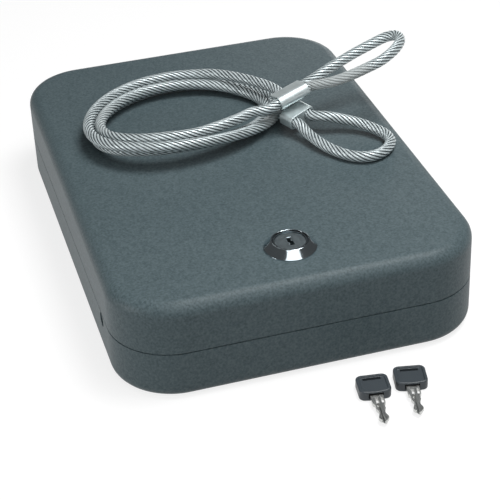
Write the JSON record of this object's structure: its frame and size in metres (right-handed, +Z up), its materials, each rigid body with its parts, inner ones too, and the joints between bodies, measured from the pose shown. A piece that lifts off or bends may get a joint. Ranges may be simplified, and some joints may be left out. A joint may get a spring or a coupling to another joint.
{
  "type": "portable car safe",
  "caption": "Flat steel lock box for a car: hinged lid with a keyed cam lock, inner lip band, a coiled security cable with crimped eyes, and keys.",
  "frame": {"origin": "middle of the case's flat underside", "axes": "+X across the case to the right seen from the lock end, +Y from the lock end to the hinge end, +Z up"},
  "size_m": [0.1914, 0.3093, 0.091],
  "materials": {
    "case_paint": "fine-textured satin powder coat, dark blue-grey",
    "band_steel": "satin paint on folded steel strip",
    "foam": "fine closed-cell foam, matt dark grey",
    "polished_steel": "polished",
    "lock_brass": "satin",
    "zinc_steel": "satin zinc plate",
    "sleeve_metal": "pressed, satin to bright",
    "rope": "galvanised wire rope under a clear coat",
    "bow_plastic": "moulded, satin",
    "key_steel": "nickel plated"
  },
  "bodies": {
    "base": {"base_shell": "case_paint", "lip_band": "band_steel", "strike_bracket": "band_steel", "base_foam": "foam", "hinge_leaf_base": "case_paint", "hinge_pin": "zinc_steel", "rivet_base_1": "zinc_steel", "rivet_base_2": "zinc_steel", "rivet_base_3": "zinc_steel", "rivet_base_4": "zinc_steel"},
    "lid": {"lid_shell": "case_paint", "lid_foam": "foam", "hinge_leaf_lid": "case_paint", "rivet_lid_1": "zinc_steel", "rivet_lid_2": "zinc_steel", "rivet_lid_3": "zinc_steel", "rivet_lid_4": "zinc_steel", "lock_ring": "polished_steel", "lock_body": "polished_steel", "lock_washer": "zinc_steel", "lock_nut": "zinc_steel"},
    "plug": {"lock_plug": "zinc_steel", "wafer_1": "lock_brass", "wafer_2": "lock_brass", "wafer_3": "lock_brass", "wafer_4": "lock_brass", "wafer_5": "lock_brass", "lock_cam": "zinc_steel", "cam_washer": "zinc_steel", "cam_screw": "zinc_steel"},
    "cable": {"cable_coil": "rope", "cable_eye_a": "rope", "cable_eye_b": "rope", "sleeve_a": "sleeve_metal", "sleeve_b": "sleeve_metal"},
    "key_1": {"key_1_bow": "bow_plastic", "key_1_blade": "key_steel"},
    "key_2": {"key_2_bow": "bow_plastic", "key_2_blade": "key_steel"}
  },
  "joints": [
    {"name": "lid_hinge", "type": "hinge", "parent": "base", "child": "lid", "pos_m": [0, 0.13, 0.025], "axis": [-1, 0, 0], "range_deg": [0, 110]},
    {"name": "lock_turn", "type": "hinge", "parent": "lid", "child": "plug", "pos_m": [0, -0.097, 0.0287], "axis": [0, 0, -1], "range_deg": [0, 90]},
    {"name": "cable_lift", "type": "slide", "parent": "lid", "child": "cable", "axis": [0, 0, 1], "range_m": [0, 0.08]},
    {"name": "key_1_lift", "type": "slide", "parent": "base", "child": "key_1", "axis": [0, 0, 1], "range_m": [0, 0.06]},
    {"name": "key_2_lift", "type": "slide", "parent": "base", "child": "key_2", "axis": [0, 0, 1], "range_m": [0, 0.06]}
  ]
}
